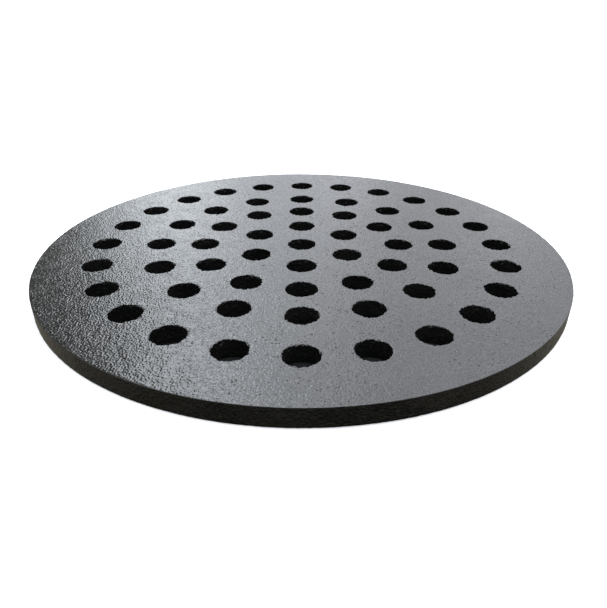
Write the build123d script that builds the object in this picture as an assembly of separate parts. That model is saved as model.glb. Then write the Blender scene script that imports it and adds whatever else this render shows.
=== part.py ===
from build123d import *
import math
import os

# Perforated round cover for a floor or yard drain: one flat plate of sand-cast iron.
# A pattern of round drain holes goes right through it, in rings about one middle hole.
# Origin: the middle of the underside. +Z: up through the cover, square to its faces.
# -Y: the direction from the middle hole to the first hole of every ring.

# Plate
PLATE_DIAMETER = 235.0
PLATE_THICKNESS = 8.1
TOP_EDGE_ROUND = 0.3
BOTTOM_EDGE_ROUND = 0.8

# Drain holes. The moulding sand's cores taper upward, so each hole is wider at the underside.
HOLE_DIAMETER = 12.6
HOLE_DRAFT = 5.0
HOLE_LIP_ROUND = 0.25

# Rings of holes, from the middle outward
RIM_MARGIN = 26.1
HOLES_PER_RING = (6, 12, 16, 24)
RING_PLACES = (0.258, 0.4955, 0.721, 1.0)
FIRST_HOLE_ANGLE = -90.0

# How near an edge's height has to be to a face's height to belong to it
EDGE_TOLERANCE = 0.001


def hole_places():
    """Centres of all the drain holes: the middle one, then each ring's."""
    outer_ring_radius = PLATE_DIAMETER / 2 - RIM_MARGIN
    places = [(0.0, 0.0)]
    for count, place in zip(HOLES_PER_RING, RING_PLACES):
        ring_radius = outer_ring_radius * place
        for index in range(count):
            angle = math.radians(FIRST_HOLE_ANGLE + 360.0 * index / count)
            places.append((ring_radius * math.cos(angle), ring_radius * math.sin(angle)))
    return places


def blank_plate():
    """The disc with its rounded rim edges. The rim between the roundings is a true cylinder."""
    disc = Cylinder(
        PLATE_DIAMETER / 2,
        PLATE_THICKNESS,
        align=(Align.CENTER, Align.CENTER, Align.MIN),
    )
    rim_edges = disc.edges().filter_by(GeomType.CIRCLE).sort_by(Axis.Z)
    disc = fillet(rim_edges[-1], TOP_EDGE_ROUND)
    rim_edges = disc.edges().filter_by(GeomType.CIRCLE).sort_by(Axis.Z)
    return fillet(rim_edges[0], BOTTOM_EDGE_ROUND)


def drain_hole():
    """What one tapered hole takes out of the plate, from underside to top face."""
    top_radius = HOLE_DIAMETER / 2
    bottom_radius = top_radius + PLATE_THICKNESS * math.tan(math.radians(HOLE_DRAFT))
    return Cone(
        bottom_radius,
        top_radius,
        PLATE_THICKNESS,
        align=(Align.CENTER, Align.CENTER, Align.MIN),
    )


def is_hole_lip(edge):
    """True for the top edge of a drain hole."""
    at_top = abs(edge.center().Z - PLATE_THICKNESS) < EDGE_TOLERANCE
    return at_top and edge.radius < HOLE_DIAMETER


def perforated_cover():
    """The whole casting: plate, drain holes and the rounded lips of the holes."""
    hole = drain_hole()
    holes = [Pos(x, y, 0) * hole for x, y in hole_places()]
    cover = blank_plate() - holes
    lips = cover.edges().filter_by(GeomType.CIRCLE).filter_by(is_hole_lip)
    return fillet(lips, HOLE_LIP_ROUND)


os.makedirs("parts", exist_ok=True)
export_step(perforated_cover(), "parts/perforated_cover.step")
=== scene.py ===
import itertools
import math

import bpy
import numpy as np
from mathutils import Matrix, Vector
from mathutils.geometry import delaunay_2d_cdt


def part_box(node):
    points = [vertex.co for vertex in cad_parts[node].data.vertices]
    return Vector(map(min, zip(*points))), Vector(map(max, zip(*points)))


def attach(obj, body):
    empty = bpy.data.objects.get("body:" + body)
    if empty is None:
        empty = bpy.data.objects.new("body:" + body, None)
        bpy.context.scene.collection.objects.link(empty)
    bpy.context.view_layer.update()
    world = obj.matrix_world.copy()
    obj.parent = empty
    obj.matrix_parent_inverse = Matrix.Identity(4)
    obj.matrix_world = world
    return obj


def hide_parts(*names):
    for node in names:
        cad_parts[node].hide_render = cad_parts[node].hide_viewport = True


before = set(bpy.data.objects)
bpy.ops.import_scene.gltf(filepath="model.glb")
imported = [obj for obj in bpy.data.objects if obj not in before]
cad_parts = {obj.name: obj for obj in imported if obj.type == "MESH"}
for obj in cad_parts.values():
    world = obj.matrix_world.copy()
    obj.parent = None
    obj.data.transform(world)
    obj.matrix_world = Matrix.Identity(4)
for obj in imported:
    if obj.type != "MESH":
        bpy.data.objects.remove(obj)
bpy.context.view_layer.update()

# Lengths in the mesh code are in millimetres; MM turns them into the scene's metres.
MM = 0.001
PLATE_NODE = "perforated_cover"

# Plate, from the frame
plate_low, plate_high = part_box(PLATE_NODE)
PLATE_RADIUS = (plate_high.x - plate_low.x) / 2 / MM
PLATE_THICKNESS = (plate_high.z - plate_low.z) / MM
TOP_EDGE_ROUND = 0.3
BOTTOM_EDGE_ROUND = 0.8

# Drain holes, as the CAD node has them, except that their bottom edges are rounded a little
HOLE_RADIUS = 6.3
HOLE_DRAFT = math.radians(5.0)
HOLE_LIP_ROUND = 0.25
HOLE_FOOT_ROUND = 0.2
RIM_MARGIN = 26.1
HOLES_PER_RING = (6, 12, 16, 24)
RING_PLACES = (0.258, 0.4955, 0.721, 1.0)
FIRST_HOLE_ANGLE = -math.pi / 2

# Mesh fineness. LIP_RINGS are how far outside each lip extra rings of points lie on the top face.
HOLE_SEGMENTS = 144
RIM_SEGMENTS = 1440
WALL_STEP = 0.5
ROUND_STEPS = 4
FOOT_STEPS = 2
LIP_RINGS = (0.7, 0.45, 0.28, 0.13)
TOP_SPACING = 0.5
UNDERSIDE_SPACING = 0.8
# How far a lattice point may be moved, and how clear of holes and rim it stays, in lattice spacings
LATTICE_JITTER = 0.28
LATTICE_CLEARANCE = 0.6
MERGE_DISTANCE = 1e-6

# Cast skin: (wavelength, height) of each layer of unevenness, and how deep its mean lies
SKIN_LAYERS = ((42.0, 0.05), (11.0, 0.04), (3.2, 0.04), (1.5, 0.08))
SKIN_DEPTH = 0.12
# Hole lips: how uneven their outline is, and how far outward that is felt
LIP_LAYERS = ((4.0, 0.45), (1.3, 0.7))
LIP_REACH = 1.1
# Crumbs on the wall just under the lips: where they begin and end below the top face, and over what
# depth they grow and fade
CRUMB_LAYERS = ((2.1, 0.8), (1.2, 1.0))
CRUMB_SET_BACK = 0.2
CRUMB_FROM, CRUMB_TO = 0.1, 2.2
CRUMB_GROWTH, CRUMB_FADE = 0.5, 2.0
# Unevenness of the rest of the wall, and the depth at which it is complete
WALL_LAYERS = ((5.0, 0.2), (2.2, 0.08))
WALL_FULL_DEPTH = 2.0
# Small chips broken out of the lips: their pattern, and how deep, how far outward and how far down they go
CHIP_LAYERS = ((1.3, 1.5), (0.8, 1.0))
CHIP_DEPTH = 0.5
CHIP_REACH = 0.6
CHIP_FADE = 1.5
# How far outside a hole's wall a point may be and still belong to it, and the nearest to an axis that counts
WALL_TOLERANCE = 0.02
AXIS_TOLERANCE = 0.01

# Every random draw starts from SEED plus one of these
SEED = 11
TOP_SEED, UNDERSIDE_SEED = 0, 6
SKIN_SEED, LIP_SEED, CRUMB_SEED, WALL_SEED, CHIP_SEED = 10, 20, 30, 40, 50

# Noise: how many gradients there are to choose from, a shift that keeps cell numbers positive, and the
# factors that mix a cell's three numbers
GRADIENTS = 4096
NOISE_SHIFT = 1000.0
CELL_FACTORS = (73856093, 19349663, 83492791)

# Paint: its two tones, its dusty spots, the painted shade at the bottoms of its pits and the pale specks on
# it
DARK_PAINT = (0.0055, 0.0054, 0.005)
LIGHT_PAINT = (0.012, 0.0113, 0.01)
DUSTY_PAINT = (0.02, 0.0195, 0.019)
PIT_SHADE_COLOUR = (0.003, 0.003, 0.003)
SPECK_COLOUR = (0.62, 0.6, 0.55)
# Patterns in the paint: noise cells to the metre, detail, and the noise values at which each begins and ends
SHADES = (55.0, 4.0, 0.4, 0.65)
DUST = (900.0, 3.0, 0.5, 0.75)
PINHOLE_CLUSTERS = (38.0, 2.0, 0.4, 0.6)
FILM = (240.0, 4.0, 0.35, 0.7)
DULL_SPOTS = (1100.0, 2.0, 0.48, 0.68)
GRAIN_PATCHES = (160.0, 2.0, 0.38, 0.65)
NOISE_ROUGHNESS = 0.55
# Dots in the paint: cells to the metre, what share of the cells has one, and its largest radius in cells
PINHOLES = (900.0, 0.3, 0.4)
PITS = (300.0, 0.07, 0.17)
SPECKS = (170.0, 0.035, 0.06)
# A dot's smallest radius and the softness of its edge, in largest radii
SMALLEST_DOT = 0.4
DOT_SOFTNESS = 0.35
FEWEST_PINHOLES = 0.2
# Roughness: the film's least and most, what a dull spot adds, and what a pit adds
LEAST_ROUGH, MOST_ROUGH = 0.09, 0.15
DULL_ROUGHNESS = 0.3
PIT_ROUGHNESS = 0.45
# Grain of the paint: cells to the metre, its height in metres, how that varies over the patches, and how
# high a speck stands, in grain heights
GRAIN = 1400.0
GRAIN_HEIGHT = 0.00016
WEAK_GRAIN, STRONG_GRAIN = 0.85, 1.3
SPECK_HEIGHT = 0.5
# The share of the grain left at the front edge, and between which places, in metres, it falls to that
FRONT_GRAIN = 0.7
FRONT_EDGE, FRONT_END = -0.1, -0.06

# Stage, in metres. The floor is a disc that sweeps up into a wall.
STAGE_SEGMENTS = 96
FLOOR_RADIUS, SWEEP_RADIUS, WALL_HEIGHT = 2.0, 1.0, 3.0
FLOOR_RINGS = (0.25, 0.6, 1.2, FLOOR_RADIUS)
SWEEP_STEPS = 12
FLOOR_COLOUR = (0.85, 0.85, 0.85, 1)
FLOOR_ROUGHNESS = 0.8
FLOOR_GLOW = 0.35
# A dark disc that paints the cover's shadow on the floor beneath it: it ends this far inside the plate's
# edge and lies this high, both in millimetres
SHADOW_DISC_MARGIN = 4.0
SHADOW_DISC_HEIGHT = 0.01
PAINTED_SHADOW_COLOUR = (0.008, 0.0095, 0.0115, 1)
SHADOW_DISC_ROUGHNESS = 0.9
SHADOW_DISC_GLOW = 0.0

# Each window of the surroundings: from and to which compass angle (0 is straight behind the cover,
# positive to the right), how softly its sides end, its radiance at its left and right side, its colour.
# The first two overlap behind the cover, on its left.
WINDOWS = (
    (-21.6, 80.0, 1.0, 3.2, 2.6, (0.895, 0.92, 1.0)),
    (-21.6, 10.0, 1.0, 3.2, 0.0, (0.86, 0.955, 1.0)),
    (100.0, 175.0, 12.0, 1.2, 1.6, (0.88, 0.935, 1.0)),
    (-130.0, -58.0, 12.0, 1.6, 0.9, (0.88, 0.935, 1.0)),
)
# The windows grow brighter from foot to head, in degrees above the horizon; the share is what the foot has.
# Below the foot they go on down to the sill.
WINDOW_FOOT, WINDOW_HEAD = 6.0, 46.0
WINDOW_FOOT_SHARE = 0.35
SILL_FROM, SILL_TO = -1.0, 3.0
# What stands outside the windows makes them uneven in soft waves, upward and sideways: how long a wave is
# and where one starts, in degrees, and how much it changes the light
UNEVEN_WAVES = ((13.0, 22.5), (17.0, 0.0))
UNEVENNESS = 0.24
OVERHEAD_FROM, OVERHEAD_SOFTNESS, OVERHEAD_RADIANCE = 44.0, 16.0, 1.5
OVERHEAD_COLOUR = (0.88, 0.935, 1.0)
ROOM_COLOUR, ROOM_RADIANCE = (1.0, 1.0, 0.93), 0.21
# The ground outside has the first radiance below the first angle, and the second above the second angle
OUTDOOR_COLOUR = (1.0, 0.94, 0.76)
OUTDOOR_ANGLES, OUTDOOR_RADIANCE = (-45.0, -28.0), (0.03, 0.22)
HORIZON_SOFTNESS = 3.0

# Camera: its distance from the axis and height above the top face, in plate radii, its angles in degrees,
# and its focal length in widths of the sensor
CAMERA_DISTANCE = 2.0134
CAMERA_HEIGHT = 0.8539
CAMERA_PITCH, CAMERA_YAW, CAMERA_ROLL = 29.29, 0.226, 0.228
CAMERA_FOCAL = 543.56 / 608
SENSOR_WIDTH = 36.0


# ---------------------------------------------------------------- noise

def lattice_noise(points, wavelength, seed):
    """Smooth gradient noise at each point, about -0.7 to 0.7."""
    generator = np.random.default_rng(SEED + seed)
    gradients = generator.normal(size=(GRADIENTS, 3))
    gradients /= np.linalg.norm(gradients, axis=1, keepdims=True)
    scaled = points / wavelength + NOISE_SHIFT
    cell = np.floor(scaled).astype(np.int64)
    inside = scaled - cell
    blend = inside**3 * (inside * (inside * 6 - 15) + 10)
    total = np.zeros(len(points))
    for corner in itertools.product((0, 1), repeat=3):
        corner = np.array(corner)
        x, y, z = ((cell + corner) * CELL_FACTORS).T
        index = (x ^ y ^ z) & (GRADIENTS - 1)
        height = ((inside - corner) * gradients[index]).sum(axis=1)
        weight = np.where(corner, blend, 1 - blend).prod(axis=1)
        total += height * weight
    return total


def layered_noise(points, layers, seed):
    """Sum of noise layers, each given as (wavelength, height)."""
    return sum(height * lattice_noise(points, wavelength, seed + number)
               for number, (wavelength, height) in enumerate(layers))


# ---------------------------------------------------------------- base shape

def hole_places():
    """Centres of all the drain holes: the middle one, then each ring's."""
    outer_ring_radius = PLATE_RADIUS - RIM_MARGIN
    places = [(0.0, 0.0)]
    for count, place in zip(HOLES_PER_RING, RING_PLACES):
        for index in range(count):
            angle = FIRST_HOLE_ANGLE + 2 * math.pi * index / count
            radius = outer_ring_radius * place
            places.append((radius * math.cos(angle), radius * math.sin(angle)))
    return np.array(places)


def hole_profile():
    """(radius, height) rows of one hole, from the top face beside its lip down to the underside."""
    corner = math.pi / 2 - HOLE_DRAFT
    reach = HOLE_LIP_ROUND / math.tan(corner / 2)
    middle_radius = HOLE_RADIUS + reach
    middle_height = PLATE_THICKNESS - HOLE_LIP_ROUND
    rows = [(middle_radius + outside, PLATE_THICKNESS) for outside in LIP_RINGS]
    for step in range(ROUND_STEPS + 1):
        turn = math.pi / 2 + (math.pi - corner) * step / ROUND_STEPS
        rows.append((middle_radius + HOLE_LIP_ROUND * math.cos(turn),
                     middle_height + HOLE_LIP_ROUND * math.sin(turn)))
    wall_top = rows[-1][1]
    wall_rows = round((wall_top - HOLE_FOOT_ROUND) / WALL_STEP)
    for step in range(1, wall_rows + 1):
        height = wall_top + (HOLE_FOOT_ROUND - wall_top) * step / wall_rows
        rows.append((HOLE_RADIUS + (PLATE_THICKNESS - height) * math.tan(HOLE_DRAFT), height))
    foot_radius = rows[-1][0]
    for step in range(1, FOOT_STEPS + 1):
        turn = math.pi / 2 * step / FOOT_STEPS
        rows.append((foot_radius + HOLE_FOOT_ROUND * (1 - math.cos(turn)),
                     HOLE_FOOT_ROUND * (1 - math.sin(turn))))
    return rows


def rim_profile():
    """(radius, height) rows of the rim, from the top face's edge down to the underside's."""
    rows = []
    for step in range(ROUND_STEPS + 1):
        turn = math.pi / 2 * (1 - step / ROUND_STEPS)
        rows.append((PLATE_RADIUS - TOP_EDGE_ROUND * (1 - math.cos(turn)),
                     PLATE_THICKNESS - TOP_EDGE_ROUND * (1 - math.sin(turn))))
    wall = PLATE_THICKNESS - TOP_EDGE_ROUND - BOTTOM_EDGE_ROUND
    wall_rows = round(wall / WALL_STEP)
    for step in range(1, wall_rows):
        rows.append((PLATE_RADIUS, PLATE_THICKNESS - TOP_EDGE_ROUND - wall * step / wall_rows))
    for step in range(ROUND_STEPS + 1):
        turn = math.pi / 2 * step / ROUND_STEPS
        rows.append((PLATE_RADIUS - BOTTOM_EDGE_ROUND * (1 - math.cos(turn)),
                     BOTTOM_EDGE_ROUND * (1 - math.sin(turn))))
    return rows


def ring_points(centre, profile, segments):
    """Points of a turned surface, one row after another: an array of rows by segments by 3."""
    angle = np.arange(segments) * (2 * math.pi / segments)
    rows = [np.stack([centre[0] + radius * np.cos(angle),
                      centre[1] + radius * np.sin(angle),
                      np.full(segments, height)], axis=1)
            for radius, height in profile]
    return np.array(rows)


def ring_faces(first, rows, segments, outward):
    """Quads of a turned surface whose points start at index first."""
    index = first + np.arange(rows * segments).reshape(rows, segments)
    following = np.roll(index, -1, axis=1)
    corners = [index[:-1], following[:-1], following[1:], index[1:]]
    if outward:
        corners.reverse()
    return np.stack(corners, axis=-1).reshape(-1, 4)


def lattice(spacing, reach, centres, hole_radius, seed):
    """Points of a jittered triangular lattice on the plate, clear of its holes and its rim."""
    generator = np.random.default_rng(SEED + seed)
    row_height = spacing * math.sqrt(3) / 2
    rows = math.ceil(reach / row_height)
    columns = math.ceil(reach / spacing) + 1
    row, column = np.mgrid[-rows:rows + 1, -columns:columns + 1]
    points = np.stack([(column + row % 2 / 2) * spacing, row * row_height], axis=-1).reshape(-1, 2)
    points += generator.uniform(-LATTICE_JITTER, LATTICE_JITTER, points.shape) * spacing
    clearance = spacing * LATTICE_CLEARANCE
    points = points[np.hypot(*points.T) < reach - clearance]
    for centre in centres:
        points = points[np.hypot(*(points - centre).T) > hole_radius + clearance]
    return points


def face_triangles(rings, rim, fill, upward):
    """Triangles between the hole rings, the rim's ring and the lattice, as indices into them in order."""
    points = np.concatenate([rings.reshape(-1, 2), rim, fill])
    hole = np.full(len(points), -1)
    hole[:len(rings) * HOLE_SEGMENTS] = np.repeat(np.arange(len(rings)), HOLE_SEGMENTS)
    found = delaunay_2d_cdt([Vector(point) for point in points.tolist()], [], [], 0, MERGE_DISTANCE)
    triangles = np.array(found[2])
    original = np.array([sources[0] for sources in found[3]])
    triangles = original[triangles]
    a, b, c = (hole[triangles[:, corner]] for corner in range(3))
    triangles = triangles[~((a >= 0) & (a == b) & (b == c))]
    a, b, c = (points[triangles[:, corner]] for corner in range(3))
    area = (b - a)[:, 0] * (c - a)[:, 1] - (b - a)[:, 1] * (c - a)[:, 0]
    turned = area < 0 if upward else area > 0
    triangles[turned] = triangles[turned][:, ::-1]
    return triangles


def plate_surface():
    """Points and faces of the smooth plate, before its cast skin."""
    centres = hole_places()
    profile = hole_profile()
    edge = rim_profile()
    hole_rows = np.array([ring_points(centre, profile, HOLE_SEGMENTS) for centre in centres])
    rim_rows = ring_points((0.0, 0.0), edge, RIM_SEGMENTS)
    hole_size = len(profile) * HOLE_SEGMENTS
    rim_first = len(centres) * hole_size
    points = [hole_rows.reshape(-1, 3), rim_rows.reshape(-1, 3)]
    quads = [ring_faces(hole * hole_size, len(profile), HOLE_SEGMENTS, False)
             for hole in range(len(centres))]
    quads.append(ring_faces(rim_first, len(edge), RIM_SEGMENTS, True))
    count = rim_first + rim_rows[..., 0].size
    triangles = []
    # The first row of each profile lies on the top face, the last on the underside.
    sides = (
        (0, PLATE_THICKNESS, TOP_SPACING, True, TOP_SEED),
        (-1, 0.0, UNDERSIDE_SPACING, False, UNDERSIDE_SEED),
    )
    for row, height, spacing, upward, seed in sides:
        fill = lattice(spacing, edge[row][0], centres, profile[row][0], seed)
        ring_index = (np.arange(len(centres))[:, None] * hole_size
                      + (row % len(profile)) * HOLE_SEGMENTS + np.arange(HOLE_SEGMENTS))
        rim_index = rim_first + (row % len(edge)) * RIM_SEGMENTS + np.arange(RIM_SEGMENTS)
        fill_index = count + np.arange(len(fill))
        place = np.concatenate([ring_index.ravel(), rim_index, fill_index])
        made = face_triangles(hole_rows[:, row, :, :2], rim_rows[row, :, :2], fill, upward)
        triangles.append(place[made])
        points.append(np.column_stack([fill, np.full(len(fill), height)]))
        count += len(fill)
    return np.concatenate(points), np.concatenate(quads), np.concatenate(triangles)


def mesh_from(name, points, quads, triangles):
    """A Blender mesh, in metres, from points in millimetres and two lists of faces."""
    mesh = bpy.data.meshes.new(name)
    corners = np.concatenate([quads.ravel(), triangles.ravel()])
    sizes = np.repeat([4, 3], [len(quads), len(triangles)])
    mesh.vertices.add(len(points))
    mesh.vertices.foreach_set("co", (points * MM).ravel())
    mesh.loops.add(len(corners))
    mesh.loops.foreach_set("vertex_index", corners)
    mesh.polygons.add(len(sizes))
    mesh.polygons.foreach_set("loop_start", np.cumsum(sizes) - sizes)
    mesh.polygons.foreach_set("use_smooth", np.ones(len(sizes), bool))
    mesh.update(calc_edges=True)
    return mesh


# ---------------------------------------------------------------- cast skin

def vertex_normals(mesh):
    normals = np.empty(len(mesh.vertices) * 3)
    mesh.vertex_normals.foreach_get("vector", normals)
    return normals.reshape(-1, 3)


def nearest_hole(points, centres):
    """Distance from, and unit direction away from, the nearest hole's axis."""
    best = np.full(len(points), np.inf)
    away = np.zeros((len(points), 2))
    for centre in centres:
        offset = points[:, :2] - centre
        distance = np.hypot(*offset.T)
        nearer = distance < best
        best[nearer] = distance[nearer]
        away[nearer] = offset[nearer]
    return best, away / np.maximum(best, AXIS_TOLERANCE)[:, None]


def faded(distance, reach):
    """1 at no distance, 0 from reach onward."""
    return np.clip(1 - distance / reach, 0, 1)


def cast_skin(points, normals):
    """The smooth plate's points moved to the uneven skin of a sand casting, never outside the plate."""
    rise = layered_noise(points, SKIN_LAYERS, SKIN_SEED) - SKIN_DEPTH
    moved = points + normals * np.minimum(rise, 0)[:, None]

    distance, away = nearest_hole(points, hole_places())
    outside = distance - HOLE_RADIUS
    depth = PLATE_THICKNESS - points[:, 2]
    in_wall = distance < HOLE_RADIUS + depth * math.tan(HOLE_DRAFT) + WALL_TOLERANCE
    growing = np.clip((depth - CRUMB_FROM) / CRUMB_GROWTH, 0, 1)
    fading = np.clip((CRUMB_TO - depth) / CRUMB_FADE, 0, 1)
    crumbs = np.abs(layered_noise(points, CRUMB_LAYERS, CRUMB_SEED)) - CRUMB_SET_BACK
    deep = np.clip(depth / WALL_FULL_DEPTH, 0, 1)
    shift = layered_noise(points, LIP_LAYERS, LIP_SEED) * faded(outside, LIP_REACH)
    shift -= crumbs * (growing * fading) * in_wall
    shift += layered_noise(points, WALL_LAYERS, WALL_SEED) * in_wall * deep
    moved[:, :2] += away * shift[:, None]
    chip = np.clip(layered_noise(points, CHIP_LAYERS, CHIP_SEED), 0, CHIP_DEPTH)
    moved[:, 2] -= chip * faded(outside, CHIP_REACH) * faded(depth, CHIP_FADE)
    return moved


def new_object(name, data):
    made = bpy.data.objects.new(name, data)
    bpy.context.scene.collection.objects.link(made)
    return made


def cover_casting():
    points, quads, triangles = plate_surface()
    mesh = mesh_from("cover_casting", points, quads, triangles)
    moved = cast_skin(points, vertex_normals(mesh))
    mesh.vertices.foreach_set("co", (moved * MM).ravel())
    mesh.update()
    return new_object("cover_casting", mesh)


# ---------------------------------------------------------------- materials

def new_material(name):
    """An empty node material, a function that adds a node with values to it, and one that links sockets."""
    material = bpy.data.materials.new(name)
    material.use_nodes = True
    nodes = material.node_tree.nodes
    nodes.clear()

    def add(kind, **values):
        node = nodes.new(kind)
        for key, value in values.items():
            if key in node.inputs:
                node.inputs[key].default_value = value
            else:
                setattr(node, key, value)
        return node

    return material, add, material.node_tree.links.new


def smooth_range(add, link, value, low, high, at_low, at_high):
    """Goes smoothly from at_low to at_high as value goes from low to high."""
    node = add("ShaderNodeMapRange")
    node.interpolation_type = "SMOOTHSTEP"
    link(value, node.inputs["Value"])
    for name, number in (("From Min", low), ("From Max", high), ("To Min", at_low), ("To Max", at_high)):
        node.inputs[name].default_value = number
    return node.outputs["Result"]


def painted_iron():
    """Black bitumen-type paint over a sand-cast skin."""
    material, add, link = new_material("painted_iron")
    output = add("ShaderNodeOutputMaterial")
    shader = add("ShaderNodeBsdfPrincipled")
    link(shader.outputs["BSDF"], output.inputs["Surface"])
    place = add("ShaderNodeTexCoord").outputs["Object"]

    def noise(scale, detail):
        node = add("ShaderNodeTexNoise", Scale=scale, Detail=detail, Roughness=NOISE_ROUGHNESS)
        link(place, node.inputs["Vector"])
        return node.outputs["Fac"]

    def graded(*values):
        return smooth_range(add, link, *values)

    def pattern(scale, detail, low, high, at_low=0.0, at_high=1.0):
        return graded(noise(scale, detail), low, high, at_low, at_high)

    def calculate(operation, first, second):
        node = add("ShaderNodeMath", operation=operation)
        for socket, value in zip(node.inputs, (first, second)):
            if isinstance(value, float):
                socket.default_value = value
            else:
                link(value, socket)
        return node.outputs["Value"]

    def blended(factor, first, second):
        """A Mix node has its colours at inputs 6 and 7 and output 2."""
        node = add("ShaderNodeMix", data_type="RGBA")
        link(factor, node.inputs["Factor"])
        for socket, value in ((node.inputs[6], first), (node.inputs[7], second)):
            if isinstance(value, tuple):
                socket.default_value = (*value, 1)
            else:
                link(value, socket)
        return node.outputs[2]

    def dots(scale, share, radius):
        """1 inside a few small round dots: one in some cells of the given scale, 0 elsewhere."""
        cells = add("ShaderNodeTexVoronoi", Scale=scale)
        link(place, cells.inputs["Vector"])
        split = add("ShaderNodeSeparateColor")
        link(cells.outputs["Color"], split.inputs["Color"])
        chosen = calculate("LESS_THAN", split.outputs["Red"], share)
        size = graded(split.outputs["Green"], 0.0, 1.0, radius * SMALLEST_DOT, radius)
        near = calculate("SUBTRACT", size, cells.outputs["Distance"])
        return calculate("MULTIPLY", chosen, graded(near, 0.0, radius * DOT_SOFTNESS, 0.0, 1.0))

    pinholes = calculate("MULTIPLY", dots(*PINHOLES), pattern(*PINHOLE_CLUSTERS, FEWEST_PINHOLES))
    pits = calculate("MAXIMUM", dots(*PITS), pinholes)
    specks = dots(*SPECKS)

    paint = blended(pattern(*SHADES), DARK_PAINT, LIGHT_PAINT)
    paint = blended(pattern(*DUST), paint, DUSTY_PAINT)
    # Pit bottoms get a darker colour. This is painted shade in the pits, which are also real dips in the
    # bump and rougher.
    paint = blended(pits, paint, PIT_SHADE_COLOUR)
    paint = blended(specks, paint, SPECK_COLOUR)
    link(paint, shader.inputs["Base Color"])

    roughness = calculate("ADD", pattern(*FILM, LEAST_ROUGH, MOST_ROUGH),
                          pattern(*DULL_SPOTS, 0.0, DULL_ROUGHNESS))
    roughness = calculate("ADD", roughness, calculate("MULTIPLY", pits, PIT_ROUGHNESS))
    link(roughness, shader.inputs["Roughness"])

    along = add("ShaderNodeSeparateXYZ")
    link(place, along.inputs["Vector"])
    front = graded(along.outputs["Y"], FRONT_EDGE, FRONT_END, FRONT_GRAIN, 1.0)
    relief = calculate("MULTIPLY", pattern(*GRAIN_PATCHES, WEAK_GRAIN, STRONG_GRAIN), front)
    height = calculate("SUBTRACT", calculate("MULTIPLY", noise(GRAIN, 0.0), relief), pits)
    height = calculate("ADD", height, calculate("MULTIPLY", specks, SPECK_HEIGHT))
    bump = add("ShaderNodeBump", Strength=1.0, Distance=GRAIN_HEIGHT)
    link(height, bump.inputs["Height"])
    link(bump.outputs["Normal"], shader.inputs["Normal"])
    return material


def plain_material(name, colour, roughness, glow):
    """A material of one colour, for the stage, that may give off a little white light."""
    material, add, link = new_material(name)
    output = add("ShaderNodeOutputMaterial")
    shader = add("ShaderNodeBsdfPrincipled", Roughness=roughness)
    shader.inputs["Base Color"].default_value = colour
    shader.inputs["Emission Color"].default_value = (1, 1, 1, 1)
    shader.inputs["Emission Strength"].default_value = glow
    link(shader.outputs["BSDF"], output.inputs["Surface"])
    return material


# ---------------------------------------------------------------- stage

def circle(radius, height):
    """Points of a level circle about the cover's axis, in metres."""
    angles = [2 * math.pi * index / STAGE_SEGMENTS for index in range(STAGE_SEGMENTS)]
    return [(radius * math.cos(angle), radius * math.sin(angle), height) for angle in angles]


def studio_floor():
    """A round floor that curves up into a wall all round."""
    profile = [(radius, 0.0) for radius in FLOOR_RINGS]
    for step in range(1, SWEEP_STEPS + 1):
        turn = math.pi / 2 * step / SWEEP_STEPS
        profile.append((FLOOR_RADIUS + SWEEP_RADIUS * math.sin(turn), SWEEP_RADIUS * (1 - math.cos(turn))))
    profile.append((FLOOR_RADIUS + SWEEP_RADIUS, WALL_HEIGHT))
    points = [(0.0, 0.0, 0.0)]
    for radius, height in profile:
        points.extend(circle(radius, height))
    faces = [(0, 1 + index, 1 + (index + 1) % STAGE_SEGMENTS) for index in range(STAGE_SEGMENTS)]
    for row in range(len(profile) - 1):
        for index in range(STAGE_SEGMENTS):
            a = 1 + row * STAGE_SEGMENTS + index
            b = 1 + row * STAGE_SEGMENTS + (index + 1) % STAGE_SEGMENTS
            faces.append((a, a + STAGE_SEGMENTS, b + STAGE_SEGMENTS, b))
    mesh = bpy.data.meshes.new("studio_floor")
    mesh.from_pydata(points, [], faces)
    mesh.polygons.foreach_set("use_smooth", [True] * len(faces))
    mesh.materials.append(plain_material("pale_floor", FLOOR_COLOUR, FLOOR_ROUGHNESS, FLOOR_GLOW))
    floor = new_object("studio_floor", mesh)
    floor.visible_glossy = False
    floor.visible_diffuse = False
    floor.visible_shadow = False
    return floor


def painted_shadow_disc():
    """A dark disc under the cover, the painted shadow on the floor there, seen only through its holes."""
    mesh = bpy.data.meshes.new("painted_shadow_disc")
    rim = circle((PLATE_RADIUS - SHADOW_DISC_MARGIN) * MM, SHADOW_DISC_HEIGHT * MM)
    mesh.from_pydata(rim, [], [tuple(range(len(rim)))])
    mesh.materials.append(plain_material("painted_shadow_disc", PAINTED_SHADOW_COLOUR, SHADOW_DISC_ROUGHNESS, SHADOW_DISC_GLOW))
    return new_object("painted_shadow_disc", mesh)


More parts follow.
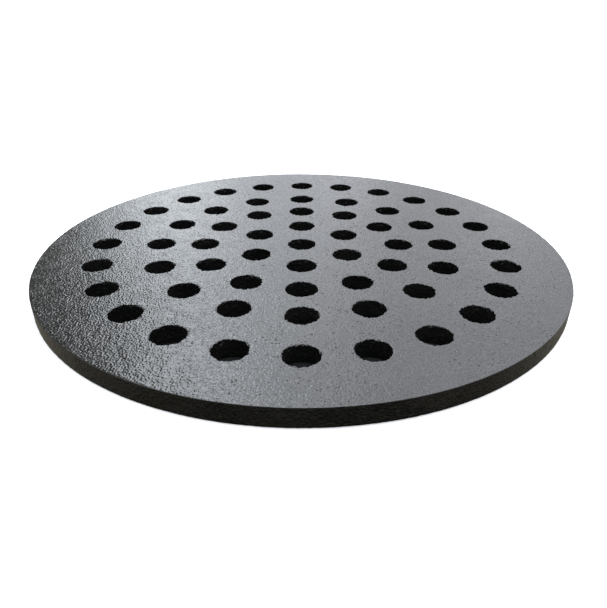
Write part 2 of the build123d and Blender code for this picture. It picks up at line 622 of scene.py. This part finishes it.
def studio_world():
    """Soft windows round a dim room with a bright ceiling and brown ground."""
    world = bpy.data.worlds.new("studio")
    bpy.context.scene.world = world
    world.use_nodes = True
    nodes, link = world.node_tree.nodes, world.node_tree.links.new
    nodes.clear()

    def calculate(operation, *values):
        node = nodes.new("ShaderNodeMath")
        node.operation = operation
        for socket, value in zip(node.inputs, values):
            if isinstance(value, float):
                socket.default_value = value
            else:
                link(value, socket)
        return node.outputs["Value"]

    def graded(*values):
        return smooth_range(nodes.new, link, *values)

    def coloured(colour, strength):
        node = nodes.new("ShaderNodeBackground")
        node.inputs["Color"].default_value = (*colour, 1)
        link(strength, node.inputs["Strength"])
        return node.outputs["Background"]

    def added(first, second):
        node = nodes.new("ShaderNodeAddShader")
        link(first, node.inputs[0])
        link(second, node.inputs[1])
        return node.outputs["Shader"]

    place = nodes.new("ShaderNodeTexCoord")
    split = nodes.new("ShaderNodeSeparateXYZ")
    link(place.outputs["Generated"], split.inputs["Vector"])
    compass = calculate("DEGREES", calculate("ARCTAN2", split.outputs["X"], split.outputs["Y"]))
    height = calculate("DEGREES", calculate("ARCSINE", split.outputs["Z"]))

    upright = graded(height, WINDOW_FOOT, WINDOW_HEAD, WINDOW_FOOT_SHARE, 1.0)
    upright = calculate("MULTIPLY", upright, graded(height, SILL_FROM, SILL_TO, 0.0, 1.0))
    for angle, (length, start) in zip((height, compass), UNEVEN_WAVES):
        turn = calculate("MULTIPLY", calculate("SUBTRACT", angle, start), 2 * math.pi / length)
        wave = calculate("SINE", turn)
        upright = calculate("MULTIPLY", upright, calculate("MULTIPLY_ADD", wave, UNEVENNESS, 1.0))
    overhead = graded(height, OVERHEAD_FROM, OVERHEAD_FROM + OVERHEAD_SOFTNESS, 0.0, OVERHEAD_RADIANCE)
    light = coloured(OVERHEAD_COLOUR, overhead)
    for first, last, soft, at_first, at_last, colour in WINDOWS:
        side = graded(compass, first - soft, first + soft, 0.0, 1.0)
        side = calculate("MULTIPLY", side, graded(compass, last - soft, last + soft, 1.0, 0.0))
        side = calculate("MULTIPLY", side, graded(compass, first, last, at_first, at_last))
        light = added(light, coloured(colour, calculate("MULTIPLY", side, upright)))
    room = coloured(ROOM_COLOUR, graded(height, -HORIZON_SOFTNESS, HORIZON_SOFTNESS, 0.0, ROOM_RADIANCE))
    ground = graded(height, *OUTDOOR_ANGLES, *OUTDOOR_RADIANCE)
    ground = calculate("MULTIPLY", ground, graded(height, -HORIZON_SOFTNESS, HORIZON_SOFTNESS, 1.0, 0.0))
    ground = coloured(OUTDOOR_COLOUR, ground)
    output = nodes.new("ShaderNodeOutputWorld")
    link(added(added(light, room), ground), output.inputs["Surface"])


# ---------------------------------------------------------------- camera

def studio_camera():
    """The camera stands low and close in front of the cover and looks down across it."""
    distance = CAMERA_DISTANCE * PLATE_RADIUS * MM
    height = (PLATE_THICKNESS + CAMERA_HEIGHT * PLATE_RADIUS) * MM
    pitch, yaw, roll = (math.radians(angle) for angle in (CAMERA_PITCH, CAMERA_YAW, CAMERA_ROLL))
    forward = Vector((math.sin(yaw) * math.cos(pitch), math.cos(yaw) * math.cos(pitch), -math.sin(pitch)))
    level = forward.cross(Vector((0, 0, 1))).normalized()
    raised = level.cross(forward)
    right = math.cos(roll) * level + math.sin(roll) * raised
    up = -math.sin(roll) * level + math.cos(roll) * raised
    data = bpy.data.cameras.new("camera")
    data.sensor_width = SENSOR_WIDTH
    data.lens = SENSOR_WIDTH * CAMERA_FOCAL
    data.clip_start = 0.01
    data.clip_end = 100.0
    camera = new_object("camera", data)
    turn = Matrix((right, up, -forward)).transposed().to_4x4()
    camera.matrix_world = Matrix.Translation((0, -distance, height)) @ turn
    bpy.context.scene.camera = camera


studio_camera()
studio_world()
studio_floor()
painted_shadow_disc()

cover = cover_casting()
cover.data.materials.append(painted_iron())
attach(cover, "root")
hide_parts(PLATE_NODE)

bpy.context.scene.view_settings.view_transform = "Standard"
